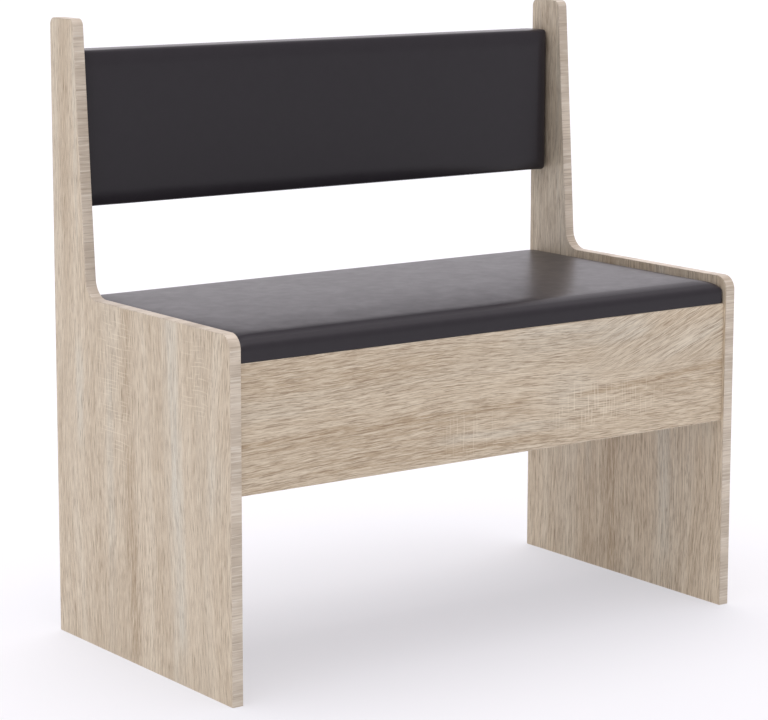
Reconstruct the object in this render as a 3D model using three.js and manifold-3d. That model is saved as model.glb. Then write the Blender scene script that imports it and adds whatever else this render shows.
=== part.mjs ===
import * as THREE from "three";
import { mergeVertices } from "three/addons/utils/BufferGeometryUtils.js";
import Module from "manifold-3d";

const wasm = await Module();
wasm.setup();

// A straight storage bench: two L-shaped side panels carry a box, a padded lid that is the seat,
// and a padded backrest. Millimetres, X along the bench, Y from front to back, Z up.
// Every place is measured from the left front foot, and the finished bench is centred at the end.

// Whole bench
const benchWidth = 852;
const benchDepth = 443;
const benchHeight = 853;

// Side panels: a low front part at arm height and an upright that leans back a little
const armHeight = 480;
const uprightDepthAtArm = 87.4;
const uprightDepthAtTop = 61.4;
const armFrontRadius = 20;
const armInnerRadius = 28;
const uprightTopRadius = 10;

// Laminated boards and the plastic bands glued on their edges
const boardThickness = 16;
const bandThickness = 1;
const bandEdgeRadius = 0.6;

// Clearances: flat faces that are glued or drawn together, and pieces that sit in or on each other
const contactGap = 0.1;
const fitGap = 0.3;
const cutOverrun = 5;

// Storage box
const boxHeight = 170;
const frontInset = 5;
const backPanelInset = 75;
const bottomBoardThickness = 3;
const bottomGrooveRise = 12;
const grooveDepth = 7;

// Seat lid
const seatBelowArm = 6;
const seatThickness = 32;
const seatBoardThickness = 12;
const seatFrontInset = 5;
const seatRearInset = 4;
const seatEndGap = 1.5;
const seatFrontRadius = 16;
const seatRearRadius = 16;
const seatEndRadius = 6;
const seatPlanRadius = 4;

// Backrest pad
const backrestDrop = 44;
const backrestAboveSeat = 122.5;
const backrestThickness = 44;
const backrestRearInset = 1;
const backrestEndGap = 1;
const backrestLongEdgeRadius = 14;
const backrestEndRadius = 14;
const backrestCornerRadius = 8;

// Imitation leather covers, wrapped round the boards and turned over behind them
const coverThickness = 1;
const coverTurnUnder = 25;

// Cam locks, their bolts and the dowels
const camRadius = 7.5;
const camDepth = 12.5;
const camSetback = 34;
const camRimBevel = 0.5;
const camRecessLength = 8;
const camRecessWidth = 1.6;
const camRecessDepth = 3;
const boltThreadRadius = 3.1;
const boltThreadLength = 10.5;
const boltThreadTaper = 1.5;
const boltCollarRadius = 3.9;
const boltCollarThickness = 1.2;
const boltShankRadius = 3;
const boltNeckRadius = 2;
const boltNeckLength = 4;
const boltHeadRadius = 3.3;
const boltHeadLength = 3;
const boltHeadBevel = 0.8;
const lowerCamRise = 40;
const upperCamDrop = 32;
const backrestCamShare = 0.214;
const dowelRadius = 4;
const dowelLength = 30;
const dowelLengthInSide = 10.5;
const dowelBevel = 1;

// Butt hinges
const hingeLength = 60;
const hingeInset = 105;
const leafWidth = 24;
const leafThickness = 1.5;
const knuckleRadius = 3.5;
const knuckleCount = 5;
const pinRadius = 1.5;
const pinHeadRadius = 2.4;
const pinHeadLength = 1.2;
const pinHeadBevel = 0.5;
const leafScrewAlongShare = 0.3;
const leafScrewAcrossShare = 0.6;

// Countersunk screws of the hinges
const screwHeadRadius = 3.1;
const screwHeadRim = 0.3;
const screwShankRadius = 1.6;
const screwTipLength = 3;
const lidScrewLength = 10;
const backScrewLength = 14;
const screwRecessLength = 3.4;
const screwRecessWidth = 0.9;
const screwRecessDepth = 1.1;

// How finely round stretches are cut into flat ones
const outlineSegments = 7;
const cushionSegments = 4;
const bandEdgeSegments = 1;
const roundSides = 16;
const boreSides = 12;
const smallRoundSides = 8;

// Places worked out from the sizes above
const innerLeft = boardThickness;
const innerRight = benchWidth - boardThickness;
const innerWidth = innerRight - innerLeft;
const seatHeight = armHeight - seatBelowArm;
const seatUnderside = seatHeight - seatThickness;
const seatBoardUnderside = seatUnderside + coverThickness + fitGap;
const boxTop = seatUnderside - fitGap;
const boxBottom = boxTop - boxHeight;
const frontPanelBack = frontInset + boardThickness;
const backPanelRear = benchDepth - backPanelInset;
const backPanelFront = backPanelRear - boardThickness;
const bandStep = bandThickness + contactGap;
const coverStep = coverThickness + fitGap;
const leafOffset = knuckleRadius + fitGap;
const hingeAxisY = backPanelRear + contactGap + leafOffset;
const hingeAxisZ = seatBoardUnderside - contactGap - leafOffset;
const backrestTop = benchHeight - backrestDrop;
const backrestBottom = seatHeight + backrestAboveSeat;
const backrestHeight = backrestTop - backrestBottom;
const backrestCamInset = backrestHeight * backrestCamShare;
const backrestRear = benchDepth - backrestRearInset;
const backrestBoardRear = backrestRear - coverStep;
const backrestBoardFront = backrestBoardRear - boardThickness;

// Finishes
const finish = (color, roughness, metalness) => new THREE.MeshStandardMaterial({ color, roughness, metalness });
const oakLaminate = finish(0xc8b49f, 0.55, 0);
const oakBand = finish(0xcdbba7, 0.5, 0);
const leatherette = finish(0x39363a, 0.45, 0);
const foam = finish(0xd9cfae, 0.95, 0);
const rawBoard = finish(0xb99a6b, 0.9, 0);
const hardboard = finish(0xe6e2da, 0.7, 0);
const beech = finish(0xd2ad78, 0.75, 0);
const zinc = finish(0xb4b4b2, 0.4, 0.9);
const platedSteel = finish(0xc9c6bd, 0.3, 1);

const alongX = new THREE.Vector3(1, 0, 0);
const alongY = new THREE.Vector3(0, 1, 0);
const alongZ = new THREE.Vector3(0, 0, 1);

// A closed solid from a geometry, for joining and cutting
function solidOf(geometry) {
  const bare = geometry.clone();
  bare.deleteAttribute("normal");
  bare.deleteAttribute("uv");
  const merged = mergeVertices(bare);
  const vertProperties = merged.attributes.position.array;
  const triVerts = new Uint32Array(merged.index.array);
  return new wasm.Manifold(new wasm.Mesh({ numProp: 3, vertProperties, triVerts }));
}

// A flat-shaded geometry from a solid
function geometryOf(solid) {
  const mesh = solid.getMesh();
  const geometry = new THREE.BufferGeometry();
  geometry.setAttribute("position", new THREE.BufferAttribute(mesh.vertProperties, mesh.numProp));
  geometry.setIndex(new THREE.BufferAttribute(mesh.triVerts, 1));
  const flat = geometry.toNonIndexed();
  flat.computeVertexNormals();
  return flat;
}

// A named mesh at its place in its group
function addPiece(group, name, solid, material, x, y, z) {
  const mesh = new THREE.Mesh(geometryOf(solid), material);
  mesh.name = name;
  mesh.position.set(x, y, z);
  group.add(mesh);
}

function cutAll(solid, cutters) {
  return cutters.reduce((left, cutter) => left.subtract(cutter), solid);
}

// A block from its lowest corner
function block(corner, size) {
  const geometry = new THREE.BoxGeometry(...size);
  geometry.translate(...corner.map((low, axis) => low + size[axis] / 2));
  return solidOf(geometry);
}

// A profile of [radius, distance along] turned about a line that starts at a point
function turned(profile, start, direction, sides) {
  const points = profile.map(([radius, along]) => new THREE.Vector2(radius, along));
  const geometry = new THREE.LatheGeometry(points, sides);
  geometry.applyQuaternion(new THREE.Quaternion().setFromUnitVectors(alongY, direction));
  geometry.translate(...start);
  return solidOf(geometry);
}

// A round bar from a point along a direction
function bar(start, direction, radius, length, sides) {
  return turned([[0, 0], [radius, 0], [radius, length], [0, length]], start, direction, sides);
}

// A blind hole into a face: the cutter starts outside the face and ends at the hole's depth
function boreCutter(mouth, direction, radius, depth, sides = boreSides) {
  const outside = new THREE.Vector3(...mouth).addScaledVector(direction, -cutOverrun);
  return bar(outside.toArray(), direction, radius, depth + cutOverrun, sides);
}

// An outline through corners given as [across, up, radius], anticlockwise, each corner an arc
function roundedOutline(corners) {
  const shape = new THREE.Shape();
  const count = corners.length;
  const points = corners.map(([across, up]) => new THREE.Vector2(across, up));
  corners.forEach(([, , radius], i) => {
    const corner = points[i];
    const back = points[(i + count - 1) % count].clone().sub(corner).normalize();
    const ahead = points[(i + 1) % count].clone().sub(corner).normalize();
    const halfAngle = Math.acos(back.dot(ahead)) / 2;
    const reach = radius / Math.tan(halfAngle);
    const start = corner.clone().addScaledVector(back, reach);
    const end = corner.clone().addScaledVector(ahead, reach);
    if (i === 0) shape.moveTo(start.x, start.y);
    else shape.lineTo(start.x, start.y);
    if (radius > 0) {
      const inward = back.clone().add(ahead).normalize();
      const centre = corner.clone().addScaledVector(inward, radius / Math.sin(halfAngle));
      const startAngle = start.clone().sub(centre).angle();
      const endAngle = end.clone().sub(centre).angle();
      shape.absarc(centre.x, centre.y, radius, startAngle, endAngle, back.cross(ahead) > 0);
    }
  });
  shape.closePath();
  return shape;
}

// The same corners with each edge moved inwards by its own amount; edge i runs from corner i to the next
function insetCorners(corners, insets) {
  const count = corners.length;
  const edges = corners.map(([across, up], i) => {
    const [nextAcross, nextUp] = corners[(i + 1) % count];
    const run = new THREE.Vector2(nextAcross - across, nextUp - up).normalize();
    const normal = new THREE.Vector2(-run.y, run.x);
    return { run, normal, level: normal.x * across + normal.y * up + insets[i] };
  });
  return corners.map(([, , radius], i) => {
    const before = edges[(i + count - 1) % count];
    const after = edges[i];
    const cross = before.normal.cross(after.normal);
    const across = (before.level * after.normal.y - after.level * before.normal.y) / cross;
    const up = (before.normal.x * after.level - after.normal.x * before.level) / cross;
    const convex = before.run.cross(after.run) > 0;
    const newRadius = radius > 0 ? Math.max(convex ? radius - insets[i] : radius + insets[i], 0) : 0;
    return [across, up, newRadius];
  });
}

// A rectangle's corners, anticlockwise from the lowest, with a radius for each
function rectangle(width, height, radii) {
  return [[0, 0, radii[0]], [width, 0, radii[1]], [width, height, radii[2]], [0, height, radii[3]]];
}

// Outlines drawn in Y and Z and run along X, in X and Z and run along Y, or in X and Y and run along Z
const profileAxes = {
  x: new THREE.Matrix4().makeBasis(alongY, alongZ, alongX),
  y: new THREE.Matrix4().makeBasis(alongX, alongZ, alongY.clone().negate()),
  z: new THREE.Matrix4().makeBasis(alongX, alongY, alongZ),
};

// A prism of an outline from zero to its length, with round long edges where an edge radius is given
function prism(corners, axis, length, segments, edgeRadius = 0) {
  const geometry = new THREE.ExtrudeGeometry(roundedOutline(corners), {
    depth: length - 2 * edgeRadius,
    curveSegments: segments,
    bevelEnabled: edgeRadius > 0,
    bevelThickness: edgeRadius,
    bevelSize: edgeRadius,
    bevelOffset: -edgeRadius,
    bevelSegments: bandEdgeSegments,
  });
  geometry.translate(0, 0, edgeRadius);
  geometry.applyMatrix4(profileAxes[axis]);
  if (axis === "y") geometry.translate(0, length, 0);
  return solidOf(geometry);
}

// Joints of the boards that run from side to side. Every such board has its lower left front corner
// at a place, a gap to each side panel, a face that its cams open on, and heights for cams and dowels.
const frontJoints = {
  label: "front",
  boardFront: frontInset,
  endGap: contactGap,
  camFacing: 1,
  cams: { lower: boxBottom + lowerCamRise, upper: boxTop - upperCamDrop },
  dowelHeight: boxBottom + boxHeight / 2,
};
const backJoints = { ...frontJoints, label: "back", boardFront: backPanelFront, camFacing: -1 };
const backrestJoints = {
  label: "backrest",
  boardFront: backrestBoardFront,
  endGap: backrestEndGap + coverStep,
  camFacing: 1,
  cams: { lower: backrestBottom + backrestCamInset, upper: backrestTop - backrestCamInset },
};
const allJoints = [frontJoints, backJoints, backrestJoints];

const boardMiddle = (joints) => joints.boardFront + boardThickness / 2;
const camFaceY = (joints) => joints.boardFront + (joints.camFacing > 0 ? boardThickness : 0);
const boardLength = (joints) => innerWidth - 2 * joints.endGap;

// Bores and cam pockets of a board, for a board whose lowest corner is at zero
function boardJointCutters(joints, boardBottom) {
  const cutters = [];
  const length = boardLength(joints);
  const middle = boardThickness / 2;
  const face = camFaceY(joints) - joints.boardFront;
  const intoBoard = alongY.clone().multiplyScalar(-joints.camFacing);
  for (const [end, inward] of [[0, alongX], [length, alongX.clone().negate()]]) {
    for (const height of Object.values(joints.cams)) {
      const z = height - boardBottom;
      const pocketX = end + inward.x * camSetback;
      cutters.push(boreCutter([end, middle, z], inward, boltCollarRadius + fitGap, camSetback));
      const pocketMouth = [pocketX, face, z];
      cutters.push(boreCutter(pocketMouth, intoBoard, camRadius + fitGap, camDepth + fitGap, roundSides));
    }
    if (joints.dowelHeight) {
      const mouth = [end, middle, joints.dowelHeight - boardBottom];
      const depth = dowelLength - dowelLengthInSide - joints.endGap + fitGap;
      cutters.push(boreCutter(mouth, inward, dowelRadius + fitGap, depth));
    }
  }
  return cutters;
}

// Blind bores for bolts and dowels in a side panel's inner face
function sideJointCutters(innerFace, outward) {
  const cutters = [];
  for (const joints of allJoints) {
    const y = boardMiddle(joints);
    for (const z of Object.values(joints.cams)) {
      const mouth = [innerFace, y, z];
      cutters.push(boreCutter(mouth, outward, boltThreadRadius + fitGap, boltThreadLength + fitGap));
    }
    if (joints.dowelHeight) {
      const mouth = [innerFace, y, joints.dowelHeight];
      cutters.push(boreCutter(mouth, outward, dowelRadius + fitGap, dowelLengthInSide + fitGap));
    }
  }
  return cutters;
}

// Side panels: each is one board with a band round every edge but the one on the floor
const sideCorners = [
  [0, 0, 0],
  [benchDepth, 0, 0],
  [benchDepth, benchHeight, uprightTopRadius],
  [benchDepth - uprightDepthAtTop, benchHeight, uprightTopRadius],
  [benchDepth - uprightDepthAtArm, armHeight, armInnerRadius],
  [0, armHeight, armFrontRadius],
];
const floorInset = (inset, floor) => sideCorners.map((_, i) => (i === 0 ? floor : inset));
const grooveBottom = boxBottom + bottomGrooveRise;
const grooveWidth = bottomBoardThickness + 2 * fitGap;

function sidePanel(isLeft) {
  const core = prism(insetCorners(sideCorners, floorInset(bandStep, 0)), "x", boardThickness, outlineSegments);
  const innerFace = isLeft ? boardThickness : 0;
  const outward = alongX.clone().multiplyScalar(isLeft ? -1 : 1);
  const grooveX = isLeft ? boardThickness - grooveDepth : -cutOverrun;
  const grooveFront = frontPanelBack - grooveDepth;
  const grooveLength = backPanelFront + grooveDepth - grooveFront;
  const grooveSize = [grooveDepth + cutOverrun, grooveLength, grooveWidth];
  const groove = block([grooveX, grooveFront, grooveBottom], grooveSize);
  return cutAll(core, [...sideJointCutters(innerFace, outward), groove]);
}

function sideBand() {
  const edgeRadius = Math.min(bandEdgeRadius, bandThickness);
  const outer = prism(sideCorners, "x", boardThickness, outlineSegments, edgeRadius);
  const innerCorners = insetCorners(sideCorners, floorInset(bandThickness, -cutOverrun));
  const inner = prism(innerCorners, "x", boardThickness + 2 * cutOverrun, outlineSegments);
  return outer.subtract(inner.translate([-cutOverrun, 0, 0]));
}

function addSide(group, name, isLeft) {
  const x = isLeft ? 0 : innerRight;
  addPiece(group, name + "_side_panel", sidePanel(isLeft), oakLaminate, x, 0, 0);
  addPiece(group, name + "_side_edge_band", sideBand(), oakBand, x, 0, 0);
}

// Front and back of the box: a core board with a band along its top and its bottom edge,
// and a groove inside for the bottom board
function addBoxPanel(group, name, joints, grooveFromFront, extraCutters) {
  const length = boardLength(joints);
  const coreBottom = boxBottom + bandStep;
  const coreHeight = boxHeight - 2 * bandStep;
  const core = block([0, 0, 0], [length, boardThickness, coreHeight]);
  const grooveY = grooveFromFront ? -cutOverrun : boardThickness - grooveDepth;
  const grooveSize = [length + 2 * cutOverrun, grooveDepth + cutOverrun, grooveWidth];
  const groove = block([-cutOverrun, grooveY, grooveBottom - coreBottom], grooveSize);
  const cutters = [groove, ...boardJointCutters(joints, coreBottom), ...extraCutters(coreBottom)];
  const x = innerLeft + joints.endGap;
  const y = joints.boardFront;
  addPiece(group, name, cutAll(core, cutters), oakLaminate, x, y, coreBottom);
  const round = Math.min(bandEdgeRadius, bandThickness);
  const topBand = prism(rectangle(boardThickness, bandThickness, [0, 0, round, round]), "x", length, 1);
  const bottomBand = prism(rectangle(boardThickness, bandThickness, [round, round, 0, 0]), "x", length, 1);
  addPiece(group, name + "_top_band", topBand, oakBand, x, y, boxTop - bandThickness);
  addPiece(group, name + "_bottom_band", bottomBand, oakBand, x, y, boxBottom);
}

// The thin bottom of the box slides in grooves on all four sides
function addBottomBoard(group) {
  const reach = grooveDepth - fitGap;
  const size = [
    innerWidth + 2 * reach,
    backPanelFront - frontPanelBack + 2 * reach,
    bottomBoardThickness,
  ];
  const corner = [innerLeft - reach, frontPanelBack - reach, grooveBottom + fitGap];
  addPiece(group, "bottom_board", block([0, 0, 0], size), hardboard, ...corner);
}

// Cam lock: a zinc drum with a cross recess on its open face and a mouth for the bolt's head
function camLock(facing, boltSide) {
  const into = alongY.clone().multiplyScalar(-facing);
  const profile = [
    [0, 0],
    [camRadius - camRimBevel, 0],
    [camRadius, camRimBevel],
    [camRadius, camDepth],
    [0, camDepth],
  ];
  const drum = turned(profile, [0, 0, 0], into, roundSides);
  const boltLine = -facing * (boardThickness / 2);
  const mouthX = boltSide * camRadius;
  const mouthDepth = camRadius + boltHeadLength / 2 + fitGap;
  const towardsCentre = alongX.clone().multiplyScalar(-boltSide);
  const mouth = boreCutter([mouthX, boltLine, 0], towardsCentre, boltHeadRadius + fitGap, mouthDepth);
  const recessDepth = camRecessDepth + cutOverrun;
  const recessY = facing > 0 ? -camRecessDepth : -cutOverrun;
  const long = camRecessLength;
  const narrow = camRecessWidth;
  const recesses = [[long, narrow], [narrow, long]].map(([x, z]) =>
    block([-x / 2, recessY, -z / 2], [x, recessDepth, z]));
  return cutAll(drum, [mouth, ...recesses]);
}

// Cam bolt: threaded end in the side panel, collar against it, then shank, neck and head
function camBolt(reach, inward) {
  const headStart = reach - boltHeadLength / 2;
  const headEnd = reach + boltHeadLength / 2;
  const profile = [
    [0, -boltThreadLength],
    [boltThreadRadius - boltThreadTaper, -boltThreadLength],
    [boltThreadRadius, boltThreadTaper - boltThreadLength],
    [boltThreadRadius, 0],
    [boltCollarRadius, 0],
    [boltCollarRadius, boltCollarThickness],
    [boltShankRadius, boltCollarThickness],
    [boltShankRadius, headStart - boltNeckLength],
    [boltNeckRadius, headStart - boltNeckLength],
    [boltNeckRadius, headStart],
    [boltHeadRadius, headStart],
    [boltHeadRadius, headEnd - boltHeadBevel],
    [boltHeadRadius - boltHeadBevel, headEnd],
    [0, headEnd],
  ];
  return turned(profile, [0, 0, 0], inward, smallRoundSides);
}

function dowel(inward) {
  const profile = [
    [0, 0],
    [dowelRadius - dowelBevel, 0],
    [dowelRadius, dowelBevel],
    [dowelRadius, dowelLength - dowelBevel],
    [dowelRadius - dowelBevel, dowelLength],
    [0, dowelLength],
  ];
  return turned(profile, [-inward.x * dowelLengthInSide, 0, 0], inward, smallRoundSides);
}

function addJointHardware(group, joints) {
  const y = boardMiddle(joints);
  const faceY = camFaceY(joints);
  const sides = [["left", innerLeft, alongX], ["right", innerRight, alongX.clone().negate()]];
  for (const [side, faceX, inward] of sides) {
    const reach = joints.endGap + camSetback;
    const camX = faceX + inward.x * reach;
    for (const [level, z] of Object.entries(joints.cams)) {
      const name = [joints.label, side, level].join("_");
      addPiece(group, name + "_cam", camLock(joints.camFacing, -inward.x), zinc, camX, faceY, z);
      addPiece(group, name + "_cam_bolt", camBolt(reach, inward), platedSteel, faceX, y, z);
    }
    if (joints.dowelHeight) {
      const name = [joints.label, side, "dowel"].join("_");
      addPiece(group, name, dowel(inward), beech, faceX, y, joints.dowelHeight);
    }
  }
}

// A padded block: the common part of its end, front and plan outlines, each with its own radii
function padded(size, endRadii, frontRadii, planRadii) {
  const [x, y, z] = size;
  const end = prism(rectangle(y, z, endRadii), "x", x, cushionSegments);
  const front = prism(rectangle(x, z, frontRadii), "y", y, cushionSegments);
  const plan = prism(rectangle(x, y, planRadii), "z", z, cushionSegments);
  return end.intersect(front).intersect(plan);
}

const shrunk = (radii, step) => radii.map((radius) => Math.max(radius - step, 0));

// Seat: a raw board, a foam sheet on it and a cover wrapped over both and turned under the board
const seatSize = [
  innerWidth - 2 * seatEndGap,
  benchDepth - seatFrontInset - seatRearInset,
  seatThickness,
];
const seatRadii = {
  end: [coverThickness, coverThickness, seatRearRadius, seatFrontRadius],
  front: [coverThickness, coverThickness, seatEndRadius, seatEndRadius],
  plan: [seatPlanRadius, seatPlanRadius, seatPlanRadius, seatPlanRadius],
};

function insideOf(size, radii, step) {
  const inner = size.map((length) => length - 2 * step);
  return padded(inner, shrunk(radii.end, step), shrunk(radii.front, step), shrunk(radii.plan, step));
}

function addSeat(group, place) {
  const [x, y, z] = place;
  const outer = padded(seatSize, seatRadii.end, seatRadii.front, seatRadii.plan);
  const step = coverThickness;
  const cavity = insideOf(seatSize, seatRadii, step).translate([step, step, step]);
  const opening = block(
    [coverTurnUnder, coverTurnUnder, -cutOverrun],
    [seatSize[0] - 2 * coverTurnUnder, seatSize[1] - 2 * coverTurnUnder, cutOverrun + 2 * step],
  );
  addPiece(group, "seat_cover", cutAll(outer, [cavity, opening]), leatherette, x, y, z);

  const filling = insideOf(seatSize, seatRadii, coverStep);
  const fillingSize = seatSize.map((length) => length - 2 * coverStep);
  const foamBottom = seatBoardThickness + fitGap;
  const foamCutter = block(
    [-cutOverrun, -cutOverrun, foamBottom],
    [fillingSize[0] + 2 * cutOverrun, fillingSize[1] + 2 * cutOverrun, fillingSize[2]],
  );
  const seatFoam = filling.intersect(foamCutter);
  addPiece(group, "seat_foam", seatFoam, foam, x + coverStep, y + coverStep, z + coverStep);

  const boardCorners = rectangle(fillingSize[0], fillingSize[1], shrunk(seatRadii.plan, coverStep));
  const board = prism(boardCorners, "z", seatBoardThickness, cushionSegments);
  const screws = hingePlaces().flatMap((hingeX) =>
    leafScrewOffsets().map((offset) =>
      screwSpace(
        [
          hingeX + offset - innerLeft - seatEndGap - coverStep,
          leafScrewAcross() + hingeAxisY - seatFrontInset - coverStep,
          -contactGap - leafThickness,
        ],
        alongZ,
        lidScrewLength,
      )));
  const cut = cutAll(board, screws);
  addPiece(group, "seat_board", cut, rawBoard, x + coverStep, y + coverStep, z + coverStep);
}

// Backrest: a raw board, a thick foam sheet in front of it and a cover turned over behind the board
const backrestSize = [innerWidth - 2 * backrestEndGap, backrestThickness, backrestHeight];
const backrestRadii = {
  end: [backrestLongEdgeRadius, coverThickness, coverThickness, backrestLongEdgeRadius],
  front: [backrestCornerRadius, backrestCornerRadius, backrestCornerRadius, backrestCornerRadius],
  plan: [backrestEndRadius, backrestEndRadius, coverThickness, coverThickness],
};

function addBackrest(group) {
  const place = [innerLeft + backrestEndGap, backrestRear - backrestThickness, backrestBottom];
  const [x, y, z] = place;
  const outer = padded(backrestSize, backrestRadii.end, backrestRadii.front, backrestRadii.plan);
  const step = coverThickness;
  const cavity = insideOf(backrestSize, backrestRadii, step).translate([step, step, step]);
  const opening = block(
    [coverTurnUnder, backrestThickness - 2 * step, coverTurnUnder],
    [backrestSize[0] - 2 * coverTurnUnder, 2 * step + cutOverrun, backrestHeight - 2 * coverTurnUnder],
  );
  const boltHoles = Object.values(backrestJoints.cams).map((height) =>
    bar(
      [-cutOverrun, boardMiddle(backrestJoints) - y, height - z],
      alongX,
      boltCollarRadius + fitGap,
      backrestSize[0] + 2 * cutOverrun,
      boreSides,
    ));
  const cover = cutAll(outer, [cavity, opening, ...boltHoles]);
  addPiece(group, "backrest_cover", cover, leatherette, x, y, z);

  const filling = insideOf(backrestSize, backrestRadii, coverStep);
  const fillingSize = backrestSize.map((length) => length - 2 * coverStep);
  const foamThickness = fillingSize[1] - boardThickness - fitGap;
  const foamCutter = block(
    [-cutOverrun, -cutOverrun, -cutOverrun],
    [fillingSize[0] + 2 * cutOverrun, foamThickness + cutOverrun, fillingSize[2] + 2 * cutOverrun],
  );
  const backrestFoam = filling.intersect(foamCutter);
  addPiece(group, "backrest_foam", backrestFoam, foam, x + coverStep, y + coverStep, z + coverStep);

  const boardCorners = rectangle(fillingSize[0], fillingSize[2], shrunk(backrestRadii.front, coverStep));
  const board = prism(boardCorners, "y", boardThickness, cushionSegments);
  const cut = cutAll(board, boardJointCutters(backrestJoints, z + coverStep));
  addPiece(group, "backrest_board", cut, rawBoard, x + coverStep, backrestBoardFront, z + coverStep);
}

// Hinges: butt hinges with one leaf on the back panel's rear face and one under the lid,
// so each leaf lies flat on its board and the pin runs in the corner behind the box
const hingePlaces = () => [innerLeft + hingeInset, innerRight - hingeInset];
const leafScrewOffsets = () => [-hingeLength * leafScrewAlongShare, hingeLength * leafScrewAlongShare];
const leafScrewAcross = () => leafWidth * leafScrewAcrossShare;

// The space a countersunk screw takes, grown by its clearance, from the leaf's outer face
function screwSpace(start, direction, length) {
  const head = screwHeadRadius + fitGap;
  const shank = screwShankRadius + fitGap;
  const profile = [
    [0, -cutOverrun],
    [head, -cutOverrun],
    [head, screwHeadRim],
    [shank, screwHeadRim + head - shank],
    [shank, length + fitGap],
    [0, length + fitGap],
  ];
  return turned(profile, start, direction, boreSides);
}

function hingeScrew(direction, length) {
  const profile = [
    [0, 0],
    [screwHeadRadius, 0],
    [screwHeadRadius, screwHeadRim],
    [screwShankRadius, screwHeadRim + screwHeadRadius - screwShankRadius],
    [screwShankRadius, length - screwTipLength],
    [0, length],
  ];
  const screw = turned(profile, [0, 0, 0], alongY, boreSides);
  const long = screwRecessLength;
  const narrow = screwRecessWidth;
  const depth = screwRecessDepth + cutOverrun;
  const recesses = [[long, narrow], [narrow, long]].map(([x, z]) =>
    block([-x / 2, -cutOverrun, -z / 2], [x, depth, z]));
  const aim = new THREE.Quaternion().setFromUnitVectors(alongY, direction);
  const geometry = geometryOf(cutAll(screw, recesses)).applyQuaternion(aim);
  return solidOf(geometry);
}

// A leaf about the pin's line: along is the way its plate runs, out the way to the face it sits on
function hingeLeaf(along, out, knuckles, screwLength) {
  const step = (hingeLength + fitGap) / knuckleCount;
  const frame = new THREE.Matrix4().makeBasis(alongX, along, out);
  const plateStart = knuckleRadius + fitGap;
  const plateSize = [hingeLength, leafWidth - plateStart, leafThickness];
  let leaf = block([-hingeLength / 2, plateStart, leafOffset - leafThickness], plateSize);
  for (const index of knuckles) {
    const x = index * step - hingeLength / 2;
    const length = step - fitGap;
    leaf = leaf.add(bar([x, 0, 0], alongX, knuckleRadius, length, roundSides));
    leaf = leaf.add(block([x, 0, leafOffset - leafThickness], [length, plateStart + fitGap, leafThickness]));
  }
  const boreStart = [-hingeLength / 2 - cutOverrun, 0, 0];
  const boreLength = hingeLength + 2 * cutOverrun;
  const pinBore = bar(boreStart, alongX, pinRadius + fitGap, boreLength, roundSides);
  const screws = leafScrewOffsets().map((x) =>
    screwSpace([x, leafScrewAcross(), leafOffset - leafThickness], alongZ, screwLength));
  const geometry = geometryOf(cutAll(leaf, [pinBore, ...screws]));
  geometry.applyMatrix4(frame);
  if (frame.determinant() < 0) {
    const positions = geometry.getAttribute("position");
    const corner = new THREE.Vector3();
    const other = new THREE.Vector3();
    for (let i = 0; i < positions.count; i += 3) {
      corner.fromBufferAttribute(positions, i);
      other.fromBufferAttribute(positions, i + 1);
      positions.setXYZ(i, other.x, other.y, other.z);
      positions.setXYZ(i + 1, corner.x, corner.y, corner.z);
    }
  }
  return solidOf(geometry);
}

function hingePin() {
  const half = hingeLength / 2 + contactGap;
  const profile = [
    [0, -half - pinHeadLength],
    [pinHeadRadius - pinHeadBevel, -half - pinHeadLength],
    [pinHeadRadius, pinHeadBevel - half - pinHeadLength],
    [pinHeadRadius, -half],
    [pinRadius, -half],
    [pinRadius, half],
    [pinHeadRadius, half],
    [pinHeadRadius, half + pinHeadLength - pinHeadBevel],
    [pinHeadRadius - pinHeadBevel, half + pinHeadLength],
    [0, half + pinHeadLength],
  ];
  return turned(profile, [0, 0, 0], alongX, smallRoundSides);
}

function addHinge(bodyGroup, lidGroup, name, hingeX) {
  const down = alongZ.clone().negate();
  const forward = alongY.clone().negate();
  const fixedKnuckles = [];
  const lidKnuckles = [];
  for (let index = 0; index < knuckleCount; index += 1) {
    (index % 2 ? lidKnuckles : fixedKnuckles).push(index);
  }
  const fixedLeaf = hingeLeaf(down, forward, fixedKnuckles, backScrewLength);
  const lidLeaf = hingeLeaf(alongY, alongZ, lidKnuckles, lidScrewLength);
  addPiece(bodyGroup, name + "_hinge_fixed_leaf", fixedLeaf, platedSteel, hingeX, hingeAxisY, hingeAxisZ);
  addPiece(bodyGroup, name + "_hinge_pin", hingePin(), platedSteel, hingeX, hingeAxisY, hingeAxisZ);
  addPiece(lidGroup, name + "_hinge_lid_leaf", lidLeaf, platedSteel, hingeX, 0, 0);
  const inner = leafOffset - leafThickness;
  leafScrewOffsets().forEach((offset, i) => {
    const label = "screw_" + (i + 1);
    const x = hingeX + offset;
    const across = leafScrewAcross();
    const fixedScrew = hingeScrew(forward, backScrewLength);
    const fixedPlace = [x, hingeAxisY - inner, hingeAxisZ - across];
    addPiece(bodyGroup, name + "_hinge_fixed_" + label, fixedScrew, platedSteel, ...fixedPlace);
    const lidScrew = hingeScrew(alongZ, lidScrewLength);
    addPiece(lidGroup, name + "_hinge_lid_" + label, lidScrew, platedSteel, x, across, inner);
  });
}

// Pilot holes for the fixed leaves' screws in the back panel, for a panel whose lowest corner is at zero
function backPanelScrewHoles(panelBottom) {
  const x = innerLeft + backJoints.endGap;
  const y = hingeAxisY - (leafOffset - leafThickness) - backPanelFront;
  const z = hingeAxisZ - leafScrewAcross() - panelBottom;
  const forward = alongY.clone().negate();
  return hingePlaces().flatMap((hingeX) =>
    leafScrewOffsets().map((offset) => screwSpace([hingeX + offset - x, y, z], forward, backScrewLength)));
}

// The assembly: everything fixed, and a lid group that turns about the hinges' line
const bench = new THREE.Group();
bench.position.set(-benchWidth / 2, -benchDepth / 2, 0);

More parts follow.
